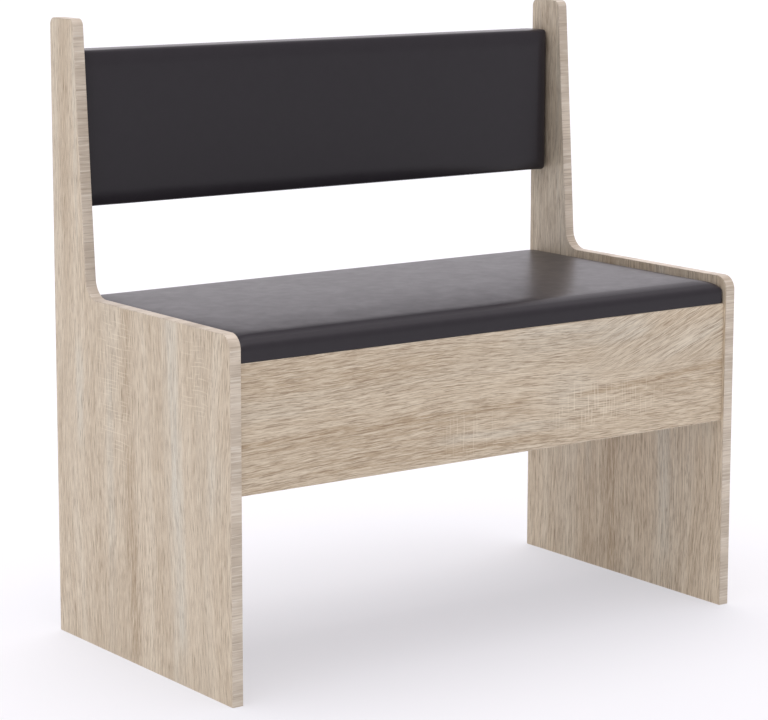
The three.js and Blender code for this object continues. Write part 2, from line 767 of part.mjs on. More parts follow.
const body = new THREE.Group();
bench.add(body);
addSide(body, "left", true);
addSide(body, "right", false);
addBoxPanel(body, "front_panel", frontJoints, false, () => []);
addBoxPanel(body, "back_panel", backJoints, true, backPanelScrewHoles);
addBottomBoard(body);
addBackrest(body);
for (const joints of allJoints) addJointHardware(body, joints);

const lid = new THREE.Group();
lid.position.set(0, hingeAxisY, hingeAxisZ);
bench.add(lid);
addSeat(lid, [innerLeft + seatEndGap, seatFrontInset - hingeAxisY, seatUnderside - hingeAxisZ]);
hingePlaces().forEach((hingeX, i) => addHinge(body, lid, i ? "right" : "left", hingeX));

export default bench;
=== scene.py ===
# A straight storage bench: two laminated side panels, a box with a padded lid, and a padded backrest.
# Metres, X along the bench, Y from front to back, Z up from the floor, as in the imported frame.
from math import atan2, pi, radians, sin, sqrt

import bmesh
import bpy
from mathutils import Matrix, Vector, noise


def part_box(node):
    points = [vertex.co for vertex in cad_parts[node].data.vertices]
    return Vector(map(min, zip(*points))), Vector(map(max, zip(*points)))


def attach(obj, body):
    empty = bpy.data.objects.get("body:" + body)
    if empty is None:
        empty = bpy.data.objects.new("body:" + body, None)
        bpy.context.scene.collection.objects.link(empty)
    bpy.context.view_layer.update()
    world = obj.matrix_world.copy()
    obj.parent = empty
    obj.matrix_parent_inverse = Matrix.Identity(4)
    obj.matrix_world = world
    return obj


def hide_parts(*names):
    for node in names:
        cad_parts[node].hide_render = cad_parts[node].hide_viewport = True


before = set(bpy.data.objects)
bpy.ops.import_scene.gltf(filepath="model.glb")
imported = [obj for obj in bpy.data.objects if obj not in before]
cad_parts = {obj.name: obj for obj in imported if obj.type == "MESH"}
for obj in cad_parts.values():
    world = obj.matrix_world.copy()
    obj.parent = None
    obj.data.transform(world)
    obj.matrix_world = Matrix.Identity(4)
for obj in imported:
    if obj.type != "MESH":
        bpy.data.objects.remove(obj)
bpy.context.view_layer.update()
bpy.ops.object.select_all(action="DESELECT")

# Camera and studio
# The camera stands in front of the bench and to its left, a little above the seat. The floor is one wide pale
# sheet in a white room, under a very wide soft lamp, with a second lamp and a bright wall behind the bench.
PHOTO_WIDTH = 768
PHOTO_MIDDLE_ROW = 360
LENS_AXIS_ROW = 311.24
FOCAL_LENGTH_PIXELS = 2748.5
CAMERA_PLACE = (-2.2445, -3.0531, 1.0703)
CAMERA_TURN = radians(-35.9442)
CAMERA_DIP = radians(9.4453)
CAMERA_TILT = radians(-0.1078)
SENSOR_WIDTH = 36

bpy.ops.object.camera_add(location=CAMERA_PLACE, rotation=(pi / 2 - CAMERA_DIP, CAMERA_TILT, CAMERA_TURN))
camera = bpy.context.object
camera.data.sensor_width = SENSOR_WIDTH
camera.data.lens = SENSOR_WIDTH * FOCAL_LENGTH_PIXELS / PHOTO_WIDTH
camera.data.shift_y = (LENS_AXIS_ROW - PHOTO_MIDDLE_ROW) / PHOTO_WIDTH
bpy.context.scene.camera = camera
bpy.context.scene.view_settings.view_transform = "Standard"


def colour(red, green, blue):
    """A shader colour from its three values as they look on a screen, 0 to 255."""
    def linear(value):
        share = value / 255
        return share / 12.92 if share <= 0.04045 else ((share + 0.055) / 1.055) ** 2.4

    return (linear(red), linear(green), linear(blue), 1)


def add_node(tree, kind, settings=None, inputs=None):
    """A shader node with its settings, each input given as a value or as the socket that feeds it."""
    made = tree.nodes.new("ShaderNode" + kind)
    for name, value in (settings or {}).items():
        setattr(made, name, value)
    for name, value in (inputs or {}).items():
        if isinstance(value, bpy.types.NodeSocket):
            tree.links.new(value, made.inputs[name])
        else:
            made.inputs[name].default_value = value
    return made


def mixed(tree, share, first, second):
    """Two colours mixed by a share from 0 to 1."""
    return add_node(tree, "Mix", {"data_type": "RGBA"}, {0: share, 6: first, 7: second}).outputs[2]


def new_material(name, values):
    """A material with these values on its main shader, its node tree and that shader."""
    material = bpy.data.materials.new(name)
    material.use_nodes = True
    shader = material.node_tree.nodes["Principled BSDF"]
    for label, value in values.items():
        shader.inputs[label].default_value = value
    return material, material.node_tree, shader


def object_place(tree):
    """The place on the object, in metres."""
    return add_node(tree, "TexCoord").outputs["Object"]


def coat(piece, *materials):
    """Gives a piece these materials and no others."""
    piece.data.materials.clear()
    for material in materials:
        piece.data.materials.append(material)


# The camera sees the room brighter than it lights the bench.
ROOM_LIGHT = 0.64
ROOM_SEEN = 1.0
ROOM_TINT = (1, 0.955, 1, 1)
WHITE = (1, 1, 1, 1)

room = bpy.data.worlds.new("white_room")
room.use_nodes = True
room_tree = room.node_tree
camera_ray = add_node(room_tree, "LightPath").outputs["Is Camera Ray"]
room_strength = add_node(room_tree, "MapRange", None,
                         {"Value": camera_ray, "To Min": ROOM_LIGHT, "To Max": ROOM_SEEN})
room_shader = room_tree.nodes["Background"]
room_tree.links.new(mixed(room_tree, camera_ray, ROOM_TINT, WHITE), room_shader.inputs["Color"])
room_tree.links.new(room_strength.outputs["Result"], room_shader.inputs["Strength"])
bpy.context.scene.world = room


def soft_lamp(tilt, strength, spread):
    """A distant lamp in the room's tint, as wide as its spread."""
    bpy.ops.object.light_add(type="SUN", rotation=tilt)
    made = bpy.context.object
    made.data.energy = strength
    made.data.angle = spread
    made.data.color = ROOM_TINT[:3]
    return made


LAMP_TILT = (radians(4), radians(-8), 0)
LAMP_STRENGTH = 1.45
LAMP_SPREAD = radians(70)
soft_lamp(LAMP_TILT, LAMP_STRENGTH, LAMP_SPREAD)

# The wall behind the bench is lit by itself, and the seat reflects it.
WALL_PLACE = (2.9, 4.0, 1.5)
WALL_SIZE = (9, 3.2)
WALL_POWER = 42.5
bpy.ops.object.light_add(type="AREA", location=WALL_PLACE, rotation=(pi / 2, 0, CAMERA_TURN + pi))
wall_light = bpy.context.object
wall_light.data.shape = "RECTANGLE"
wall_light.data.size, wall_light.data.size_y = WALL_SIZE
wall_light.data.energy = WALL_POWER
wall_light.data.color = ROOM_TINT[:3]
wall_light.visible_camera = False

# The second lamp stands behind the bench on its right, and throws the wide shade in front of the panels.
BACK_LAMP_TILT = (radians(-32), radians(32), 0)
BACK_LAMP_STRENGTH = 0.60
BACK_LAMP_SPREAD = radians(60)
back_lamp = soft_lamp(BACK_LAMP_TILT, BACK_LAMP_STRENGTH, BACK_LAMP_SPREAD)
back_lamp.visible_glossy = False

# The floor glows by itself, a little more behind the bench than in front of it.
FLOOR_SIZE = 80
FLOOR_PAINT = colour(182, 181, 179)
FLOOR_ROUGHNESS = 0.9
FLOOR_GLOW_TINT = colour(235, 238, 247)
FLOOR_GLOW = 0.512
FLOOR_GLOW_BEHIND = 0.59
FLOOR_GLOW_START = -0.3
FLOOR_GLOW_END = 1.3

bpy.ops.mesh.primitive_plane_add(size=FLOOR_SIZE)
floor = bpy.context.object
floor.name = "studio_floor"
floor_paint, floor_tree, floor_shader = new_material(
    "floor_paint", {"Base Color": FLOOR_PAINT, "Roughness": FLOOR_ROUGHNESS, "Specular IOR Level": 0,
                    "Emission Color": FLOOR_GLOW_TINT})
floor_depth = add_node(floor_tree, "SeparateXYZ", None, {0: object_place(floor_tree)}).outputs["Y"]
floor_glow = add_node(floor_tree, "MapRange", {"interpolation_type": "SMOOTHSTEP"},
                      {"Value": floor_depth, "From Min": FLOOR_GLOW_START, "From Max": FLOOR_GLOW_END,
                       "To Min": FLOOR_GLOW, "To Max": FLOOR_GLOW_BEHIND})
floor_tree.links.new(floor_glow.outputs[0], floor_shader.inputs["Emission Strength"])
coat(floor, floor_paint)


# Side panels
# Each is a 16 mm particle board faced on both sides with oak-look paper, its grain running up the board.
# The paper shows slow brown and greenish-grey bands, fine fibres, dark pores, limed lines and saw marks.
def sums(tree, operation, *values):
    """One step of arithmetic on numbers or sockets."""
    return add_node(tree, "Math", {"operation": operation}, dict(enumerate(values))).outputs[0]


def moved(tree, operation, *values):
    """One step of arithmetic on places."""
    return add_node(tree, "VectorMath", {"operation": operation}, dict(enumerate(values))).outputs[0]


def patches(tree, place, per_metre, detail=2.0, roughness=0.5):
    """Cloudy noise with so many patches per metre in each direction, from 0 to 1."""
    scaled = moved(tree, "MULTIPLY", place, per_metre)
    cloud = add_node(tree, "TexNoise", None,
                     {"Vector": scaled, "Scale": 1, "Detail": detail, "Roughness": roughness})
    return cloud.outputs[0]


def above(tree, value, start, full):
    """A mask that rises smoothly from 0 where the value is start to 1 where it is full."""
    ramp = add_node(tree, "MapRange", {"interpolation_type": "SMOOTHSTEP"},
                    {"Value": value, "From Min": start, "From Max": full})
    return ramp.outputs[0]


def printed(tree, paint, layers):
    """A colour with layers printed over it, each given as its mask, how much of it shows, and its ink."""
    for mask, share, ink in layers:
        paint = mixed(tree, sums(tree, "MULTIPLY", mask, share), paint, ink)
    return paint


def new_group(name, inputs, outputs):
    """An empty node group with named sockets, and its two end nodes."""
    group = bpy.data.node_groups.new(name, "ShaderNodeTree")
    for label, kind, value in inputs:
        socket = group.interface.new_socket(name=label, in_out="INPUT", socket_type="NodeSocket" + kind)
        if value is not None:
            socket.default_value = value
    for label, kind in outputs:
        group.interface.new_socket(name=label, in_out="OUTPUT", socket_type="NodeSocket" + kind)
    return group, group.nodes.new("NodeGroupInput"), group.nodes.new("NodeGroupOutput")


# A streak of the figure is a long patch round a slightly slanting line, frayed along its edges.
FRAY_PATCHES = (9, 70, 0)
FRAY_WIDTH = 0.018
STREAK_CORE = 0.2
STREAK_END = 0.03

streak, streak_in, streak_out = new_group(
    "figure_streak",
    [("Place", "Vector", None), ("From", "Vector", None), ("Slope", "Float", 0.0), ("Length", "Float", 1.0),
     ("Half Width", "Float", 0.01)],
    [("Mask", "Float")],
)
streak_place = streak_in.outputs["Place"]
half_width = streak_in.outputs["Half Width"]
far_end = streak_in.outputs["Length"]
from_start = moved(streak, "SUBTRACT", streak_place, streak_in.outputs["From"])
offset = add_node(streak, "SeparateXYZ", None, {0: from_start})
run, side_step = offset.outputs["X"], offset.outputs["Y"]
fray = sums(streak, "SUBTRACT", patches(streak, streak_place, FRAY_PATCHES, 3, 0.6), 0.5)
fray = sums(streak, "MULTIPLY", fray, FRAY_WIDTH)
centre = sums(streak, "MULTIPLY_ADD", run, streak_in.outputs["Slope"], fray)
away = sums(streak, "ABSOLUTE", sums(streak, "SUBTRACT", side_step, centre))
across_mask = above(streak, away, half_width, sums(streak, "MULTIPLY", half_width, STREAK_CORE))
near_mask = above(streak, run, -STREAK_END, STREAK_END)
far_mask = above(streak, run, sums(streak, "ADD", far_end, STREAK_END),
                 sums(streak, "SUBTRACT", far_end, STREAK_END))
end_mask = sums(streak, "MULTIPLY", near_mask, far_mask)
streak.links.new(sums(streak, "MULTIPLY", across_mask, end_mask), streak_out.inputs["Mask"])

# The oak print. Its grain runs along the first direction of Place, and the third only tells one face from
# another. Widths are in metres.
OAK_BASE = colour(218, 204, 180)
OAK_BROWN = colour(179, 158, 129)
OAK_COOL = colour(217, 212, 196)
OAK_PORE = colour(130, 108, 84)
OAK_LIMED = colour(234, 223, 200)
OAK_ROUGHNESS = 0.46
PORE_ROUGHER = 0.12
FACE_STEP = 40
WAVE_WIDTH = 0.16
CRIMP_WIDTH = 0.0014
SAW_LINES_PER_METRE = 190
SAW_LINE_SHIFT = 30

oak, oak_in, oak_out = new_group(
    "sonoma_oak",
    [("Place", "Vector", None), ("Wave", "Float", 1.0), ("Crimp", "Float", 1.0), ("Brown", "Float", 0.0),
     ("Cool", "Float", 0.0), ("Sawn", "Float", 0.0)],
    [("Color", "Color"), ("Roughness", "Float"), ("Height", "Float")],
)
stepped = moved(oak, "MULTIPLY", oak_in.outputs["Place"], (1, 1, FACE_STEP))
slow_wave = sums(oak, "SUBTRACT", patches(oak, stepped, (2.2, 5, 1), 1), 0.5)
crimp = sums(oak, "SUBTRACT", patches(oak, stepped, (55, 120, 1), 1), 0.5)
drift = sums(oak, "MULTIPLY", sums(oak, "MULTIPLY", slow_wave, WAVE_WIDTH), oak_in.outputs["Wave"])
drift = sums(oak, "MULTIPLY_ADD", sums(oak, "MULTIPLY", crimp, CRIMP_WIDTH), oak_in.outputs["Crimp"], drift)
grain = moved(oak, "ADD", stepped, add_node(oak, "CombineXYZ", None, {"Y": drift}).outputs[0])

tone = patches(oak, grain, (1.1, 30, 1), 2, 0.6)
tint = patches(oak, moved(oak, "ADD", grain, (3, 7, 11)), (0.9, 20, 1), 1, 0.5)
bundle = patches(oak, grain, (5, 120, 1), 2, 0.6)
fibre = patches(oak, grain, (9, 520, 1), 3, 0.7)
speck = patches(oak, moved(oak, "ADD", grain, (1, 3, 5)), (40, 820, 1), 2, 0.7)
pore = above(oak, patches(oak, grain, (16, 560, 3), 2, 0.6), 0.56, 0.63)
limed = above(oak, patches(oak, moved(oak, "ADD", grain, (5, 2, 8)), (10, 480, 3), 2, 0.6), 0.53, 0.64)
brown = sums(oak, "MULTIPLY_ADD", above(oak, tone, 0.60, 0.38), 0.30, oak_in.outputs["Brown"])
cool = sums(oak, "MULTIPLY_ADD", above(oak, tint, 0.50, 0.68), 0.35, oak_in.outputs["Cool"])

saw_gap = above(oak, patches(oak, stepped, (150, 30, 1), 1), 0.46, 0.58)
saw_shift = sums(oak, "MULTIPLY", patches(oak, stepped, (9, 9, 1), 1), SAW_LINE_SHIFT)
along = add_node(oak, "SeparateXYZ", None, {0: stepped}).outputs["X"]
saw_turn = sums(oak, "ADD", sums(oak, "MULTIPLY", along, 2 * pi * SAW_LINES_PER_METRE), saw_shift)
saw_line = above(oak, sums(oak, "SINE", saw_turn), 0.45, 1.0)
saw = sums(oak, "MULTIPLY", sums(oak, "MULTIPLY", oak_in.outputs["Sawn"], saw_gap), saw_line)

oak_paint = printed(oak, OAK_BASE, [
    (sums(oak, "MINIMUM", cool, 1.0), 1.0, OAK_COOL),
    (sums(oak, "MINIMUM", brown, 1.0), 1.0, OAK_BROWN),
    (above(oak, bundle, 0.56, 0.36), 0.10, OAK_BROWN),
    (above(oak, fibre, 0.56, 0.38), 0.36, OAK_BROWN),
    (pore, 0.38, OAK_PORE),
    (limed, 0.38, OAK_LIMED),
    (above(oak, speck, 0.47, 0.36), 0.56, OAK_PORE),
    (above(oak, speck, 0.52, 0.64), 0.50, OAK_LIMED),
    (saw, 0.46, OAK_LIMED),
])
oak.links.new(oak_paint, oak_out.inputs["Color"])
oak.links.new(sums(oak, "MULTIPLY_ADD", pore, PORE_ROUGHER, OAK_ROUGHNESS), oak_out.inputs["Roughness"])
oak.links.new(sums(oak, "SUBTRACT", sums(oak, "MULTIPLY", fibre, 0.5), pore), oak_out.inputs["Height"])


def give_bump(tree, shader, height, strength, depth):
    """Feeds a height into the shader's normal, depth metres from low to high."""
    bump = add_node(tree, "Bump", None, {"Strength": strength, "Distance": depth, "Height": height})
    tree.links.new(bump.outputs[0], shader.inputs["Normal"])


def streaks_on(tree, place, streaks, total=0.0):
    """The masks of a board's streaks, added up. Each has its two ends, its half width and its strength."""
    for (first_run, first_side), (last_run, last_side), half, strength in streaks:
        slope = (last_side - first_side) / (last_run - first_run)
        node = add_node(tree, "Group", {"node_tree": streak},
                        {"Place": place, "From": (first_run, first_side, 0), "Slope": slope,
                         "Length": last_run - first_run, "Half Width": half})
        total = sums(tree, "MULTIPLY_ADD", node.outputs["Mask"], strength, total)
    return total


PRINT_RELIEF = (0.35, 0.0001)


def oak_laminate(name, grain_turn, patch, wave, crimp, brown=(), cool=(), sawn=(), lean=None, darker=0.0):
    """Oak-look paper, its grain turned to suit the board, with its own streaks and saw marks.

    A lean is an angle and two ramps, along and across the grain, past which the grain lies at that angle.
    """
    material, tree, shader = new_material(name, {})
    place = object_place(tree)
    turned = add_node(tree, "Mapping", None, {"Vector": place, "Rotation": grain_turn}).outputs[0]
    masks = {"Brown": streaks_on(tree, turned, brown, darker), "Cool": streaks_on(tree, turned, cool),
             "Sawn": streaks_on(tree, turned, sawn)}

    def figure(place):
        return add_node(tree, "Group", {"node_tree": oak},
                        {"Place": place, "Wave": wave, "Crimp": crimp, **masks})

    shifted = add_node(tree, "Mapping", None, {"Vector": turned, "Location": patch}).outputs[0]
    straight = figure(shifted)
    paint, height = straight.outputs["Color"], straight.outputs["Height"]
    if lean:
        angle, run_ramp, side_ramp = lean
        leaned = add_node(tree, "Mapping", None, {"Vector": shifted, "Rotation": (0, 0, -angle)}).outputs[0]
        leaning = figure(leaned)
        parts = add_node(tree, "SeparateXYZ", None, {0: turned})
        share = sums(tree, "MULTIPLY", above(tree, parts.outputs["X"], *run_ramp),
                     above(tree, parts.outputs["Y"], *side_ramp))
        paint = mixed(tree, share, paint, leaning.outputs["Color"])
        height = add_node(tree, "Mix", None, {0: share, 2: height, 3: leaning.outputs["Height"]}).outputs[0]
    tree.links.new(paint, shader.inputs["Base Color"])
    tree.links.new(straight.outputs["Roughness"], shader.inputs["Roughness"])
    give_bump(tree, shader, height, *PRINT_RELIEF)
    return material


def paint_node(node, material):
    """Gives a CAD node's own object a finish."""
    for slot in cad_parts[node].material_slots:
        slot.material = material


# Each streak has its two ends, its half width and its strength. Each end is given along the grain, then
# across it, in metres: height and depth on a side panel.
SIDE_BROWN = [
    ((0.34, 0.040), (0.50, 0.034), 0.020, 0.40),
    ((0.00, 0.019), (0.30, 0.026), 0.024, 0.50),
    ((0.00, 0.018), (0.19, 0.020), 0.012, 0.35),
    ((0.36, -0.122), (0.50, -0.118), 0.014, 0.30),
    ((0.00, 0.090), (0.15, 0.090), 0.070, 0.25),
    ((0.05, -0.050), (0.17, -0.040), 0.022, 0.30),
    ((0.55, 0.192), (0.85, 0.188), 0.020, 0.25),
    ((0.05, 0.209), (0.35, 0.209), 0.009, 0.35),
]
SIDE_COOL = [
    ((0.05, -0.104), (0.49, -0.080), 0.019, 0.90),
    ((0.22, -0.088), (0.40, -0.084), 0.011, 0.50),
    ((0.28, 0.156), (0.42, 0.158), 0.016, 0.75),
    ((0.55, 0.158), (0.84, 0.160), 0.007, 0.60),
    ((0.12, 0.076), (0.38, 0.076), 0.012, 0.45),
    ((0.24, -0.180), (0.32, -0.185), 0.030, 0.50),
]
SIDE_SAWN = [
    ((0.27, 0.062), (0.47, 0.062), 0.060, 1.0),
    ((0.36, -0.140), (0.46, -0.140), 0.050, 1.0),
]
SIDE_PATCH = {"left": (0.0, 0.0, 0.3), "right": (2.0, 0.6, 0.9)}
GRAIN_UP = (0, pi / 2, 0)

for side in ("left", "right"):
    side_oak = oak_laminate(side + "_side_oak", GRAIN_UP, SIDE_PATCH[side], wave=0.5, crimp=0.6,
                            brown=SIDE_BROWN, cool=SIDE_COOL, sawn=SIDE_SAWN)
    paint_node(side + "_side_panel", side_oak)

# Edge bands of the side panels
# A 1 mm plastic strip is glued round every edge but the floor edge, and its corners are scraped round.
# It is printed like the paper, but its fibres run across the board's thickness in short streaks.
BAND_BASE = colour(213, 201, 182)
BAND_BROWN = colour(146, 128, 106)
BAND_LIGHT = colour(232, 226, 212)
BAND_RELIEF = (0.25, 0.0001)

band_material, band_tree, band_shader = new_material("oak_edge_strip", {"Roughness": 0.42})
band_place = object_place(band_tree)
dark_streak = patches(band_tree, band_place, (12, 420, 420), 2, 0.7)
light_streak = patches(band_tree, moved(band_tree, "ADD", band_place, (4, 9, 2)), (12, 380, 380), 2, 0.7)
stretch = patches(band_tree, band_place, (8, 22, 22), 2, 0.6)
band_paint = printed(band_tree, BAND_BASE, [
    (above(band_tree, stretch, 0.60, 0.40), 0.36, BAND_BROWN),
    (above(band_tree, dark_streak, 0.50, 0.64), 0.44, BAND_BROWN),
    (above(band_tree, light_streak, 0.52, 0.64), 0.46, BAND_LIGHT),
])
band_tree.links.new(band_paint, band_shader.inputs["Base Color"])
give_bump(band_tree, band_shader, dark_streak, *BAND_RELIEF)

SHARP_ANGLE = radians(30)
FLAT_ANGLE = radians(0.5)
MERGE_DISTANCE = 0.00001


def pick(piece):
    """Makes a piece the only selected object and the active one."""
    bpy.ops.object.select_all(action="DESELECT")
    piece.select_set(True)
    bpy.context.view_layer.objects.active = piece


def eased_copy(node, body, material, edge_width, steps=2):
    """Stands for a CAD node: its solid with doubles merged, sharp edges eased and round stretches smooth."""
    eased = bpy.data.objects.new(node + "_finished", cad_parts[node].data.copy())
    bpy.context.collection.objects.link(eased)
    pick(eased)
    bpy.ops.object.mode_set(mode="EDIT")
    bpy.ops.mesh.select_all(action="SELECT")
    bpy.ops.mesh.remove_doubles(threshold=MERGE_DISTANCE)
    bpy.ops.mesh.tris_convert_to_quads(face_threshold=FLAT_ANGLE, shape_threshold=pi)
    bpy.ops.object.mode_set(mode="OBJECT")
    bevel = eased.modifiers.new("eased_edges", "BEVEL")
    bevel.width = edge_width
    bevel.segments = steps
    bevel.limit_method = "ANGLE"
    bevel.angle_limit = SHARP_ANGLE
    bpy.ops.object.modifier_apply(modifier=bevel.name)
    bpy.ops.object.shade_smooth_by_angle(angle=SHARP_ANGLE)
    coat(eased, material)
    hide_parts(node)
    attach(eased, body)
    return eased


BAND_EDGE = 0.0003
for side in ("left", "right"):
    band = eased_copy(side + "_side_edge_band", "bench_body", band_material, BAND_EDGE)

# Storage box
# The front and back panels are the same laminate with the grain running along the bench, and a band on
# their top and bottom edges. The bottom is 3 mm hardboard, white above and raw brown below.
# The streaks' ends are given along the grain, then across it, in metres: length and height on a panel.
FRONT_BROWN = [
    ((-0.44, 0.336), (0.06, 0.341), 0.006, 0.60),
    ((0.14, 0.338), (0.44, 0.358), 0.008, 0.60),
    ((-0.44, 0.318), (-0.06, 0.318), 0.030, 0.22),
    ((-0.44, 0.296), (-0.12, 0.300), 0.005, 0.40),
    ((-0.30, 0.287), (0.10, 0.288), 0.006, 0.35),
    ((0.24, 0.332), (0.44, 0.340), 0.020, 0.32),
    ((-0.27, 0.405), (-0.09, 0.406), 0.024, 0.20),
    ((-0.44, 0.410), (-0.30, 0.412), 0.026, 0.10),
]
FRONT_COOL = [
    ((0.03, 0.424), (0.27, 0.424), 0.026, 0.90),
    ((0.18, 0.395), (0.44, 0.400), 0.040, 0.45),
    ((-0.10, 0.304), (0.13, 0.303), 0.010, 0.80),
    ((0.09, 0.345), (0.17, 0.345), 0.045, 0.50),
    ((-0.42, 0.372), (-0.31, 0.374), 0.014, 0.50),
]
FRONT_SAWN = [
    ((-0.08, 0.311), (-0.01, 0.311), 0.040, 1.0),
    ((0.10, 0.325), (0.20, 0.325), 0.045, 1.3),
    ((0.20, 0.325), (0.29, 0.325), 0.040, 0.9),
]
FRONT_LEAN = (radians(20), (0.12, 0.24), (0.345, 0.385))
BACK_BROWN = [((-0.30, 0.36), (0.10, 0.35), 0.018, 0.6), ((0.05, 0.30), (0.42, 0.31), 0.012, 0.6)]
BACK_COOL = [((-0.10, 0.40), (0.30, 0.40), 0.020, 0.7)]
BACK_SAWN = [((-0.25, 0.38), (-0.12, 0.38), 0.035, 1.0)]
GRAIN_ALONG = (-pi / 2, 0, 0)
GRAIN_ALONG_EDGE = (0, 0, 0)

front_oak = oak_laminate("front_panel_oak", GRAIN_ALONG, (0.0, 0.0, 0.0), wave=0.2, crimp=1.5,
                         brown=FRONT_BROWN, cool=FRONT_COOL, sawn=FRONT_SAWN, lean=FRONT_LEAN, darker=0.25)
back_oak = oak_laminate("back_panel_oak", GRAIN_ALONG, (3.0, 1.0, 2.0), wave=0.3, crimp=1.5,
                        brown=BACK_BROWN, cool=BACK_COOL, sawn=BACK_SAWN)
box_band_oak = oak_laminate("box_band_oak", GRAIN_ALONG_EDGE, (1.0, 5.0, 3.0), wave=0.4, crimp=1.0)
paint_node("front_panel", front_oak)
paint_node("back_panel", back_oak)
for panel in ("front", "back"):
    for edge in ("top", "bottom"):
        band = eased_copy(f"{panel}_panel_{edge}_band", "bench_body", box_band_oak, BAND_EDGE)

HARDBOARD_BROWN = colour(128, 92, 62)
HARDBOARD_FLECK = colour(160, 122, 86)
HARDBOARD_WHITE = colour(232, 230, 224)
WHITE_FADE_START = 0.0006
WHITE_FADE_END = 0.0002

hardboard, hardboard_tree, hardboard_shader = new_material("hardboard", {"Roughness": 0.6})
hardboard_place = object_place(hardboard_tree)
hardboard_rise = add_node(hardboard_tree, "SeparateXYZ", None, {0: hardboard_place}).outputs["Z"]
board_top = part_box("bottom_board")[1].z
fluff = patches(hardboard_tree, hardboard_place, (700, 700, 700), 3, 0.7)
lacquered = above(hardboard_tree, hardboard_rise, board_top - WHITE_FADE_START, board_top - WHITE_FADE_END)
hardboard_paint = printed(hardboard_tree, HARDBOARD_BROWN, [
    (above(hardboard_tree, fluff, 0.52, 0.66), 0.5, HARDBOARD_FLECK),
    (lacquered, 1.0, HARDBOARD_WHITE),
])
hardboard_tree.links.new(hardboard_paint, hardboard_shader.inputs["Base Color"])
give_bump(hardboard_tree, hardboard_shader, fluff, 0.3, 0.0002)
paint_node("bottom_board", hardboard)


# Cam locks, cam bolts and dowels
# Round zinc cams sit in bores at the ends of the cross boards and draw them onto steel bolts in the side
# panels. Two beech dowels at each end of the box keep its panels from turning.
def clouded_material(name, per_metre, first, last, values, detail=3, breakup=0.6, rougher=0.0, relief=()):
    """A material whose colour drifts between two and, where asked, its roughness and relief with it."""
    material, tree, shader = new_material(name, values)
    cloud = patches(tree, object_place(tree), per_metre, detail, breakup)
    tree.links.new(mixed(tree, cloud, first, last), shader.inputs["Base Color"])
    if rougher:
        roughness = sums(tree, "MULTIPLY_ADD", cloud, rougher, values["Roughness"])
        tree.links.new(roughness, shader.inputs["Roughness"])
    if relief:
        give_bump(tree, shader, cloud, *relief)
    return material


zinc = clouded_material("cast_zinc", (900, 900, 900), colour(150, 151, 150), colour(196, 196, 194),
                        {"Roughness": 0.30, "Metallic": 0.9}, rougher=0.3, relief=(0.4, 0.0002))
steel = clouded_material("plated_steel", (260, 260, 260), colour(186, 184, 176), colour(214, 211, 202),
                         {"Roughness": 0.18, "Metallic": 1.0}, rougher=0.25)
beech = clouded_material("beech", (160, 1800, 1800), colour(222, 188, 140), colour(190, 150, 104),
                         {"Roughness": 0.7}, relief=(0.3, 0.0002))

CAM_EDGE = 0.0002
for board in ("front", "back", "backrest"):
    for side in ("left", "right"):
        for height_name in ("lower", "upper"):
            cam = f"{board}_{side}_{height_name}_cam"
            eased_copy(cam, "bench_body", zinc, CAM_EDGE)
            eased_copy(cam + "_bolt", "bench_body", steel, CAM_EDGE, 1)
for board in ("front", "back"):
    for side in ("left", "right"):
        eased_copy(f"{board}_{side}_dowel", "bench_body", beech, CAM_EDGE, 1)

# Padded backrest
# A 16 mm chipboard with foam on its front, wrapped in black imitation leather. The cover is drawn over the
# edges, turned 25 mm onto the back of the board and stapled there.
CHIP_LIGHT = colour(196, 166, 122)
CHIP_DARK = colour(158, 124, 82)
CHIP_DUST = colour(206, 182, 142)

chipboard, chip_tree, chip_shader = new_material("raw_chipboard", {"Roughness": 0.85})
chip_place = object_place(chip_tree)
chips = add_node(chip_tree, "TexVoronoi", {"feature": "F1"}, {"Vector": chip_place, "Scale": 420.0})
chip_shade = add_node(chip_tree, "SeparateColor", None, {0: chips.outputs["Color"]}).outputs[0]
dust = patches(chip_tree, chip_place, (900, 900, 900), 3, 0.7)
chip_paint = printed(chip_tree, CHIP_LIGHT, [(chip_shade, 1.0, CHIP_DARK), (dust, 0.5, CHIP_DUST)])
chip_tree.links.new(chip_paint, chip_shader.inputs["Base Color"])
give_bump(chip_tree, chip_shader, chips.outputs["Distance"], 0.4, 0.0004)
paint_node("backrest_board", chipboard)
paint_node("seat_board", chipboard)

FOAM_CREAM = colour(226, 214, 178)
FOAM_CELL = colour(196, 180, 140)
foam_material, foam_tree, foam_shader = new_material("foam", {"Roughness": 0.95})
foam_place = object_place(foam_tree)
cells = add_node(foam_tree, "TexVoronoi", {"feature": "F1"}, {"Vector": foam_place, "Scale": 900.0})
foam_paint = mixed(foam_tree, cells.outputs["Distance"], FOAM_CREAM, FOAM_CELL)
foam_tree.links.new(foam_paint, foam_shader.inputs["Base Color"])
give_bump(foam_tree, foam_shader, cells.outputs["Distance"], 0.6, 0.0004)

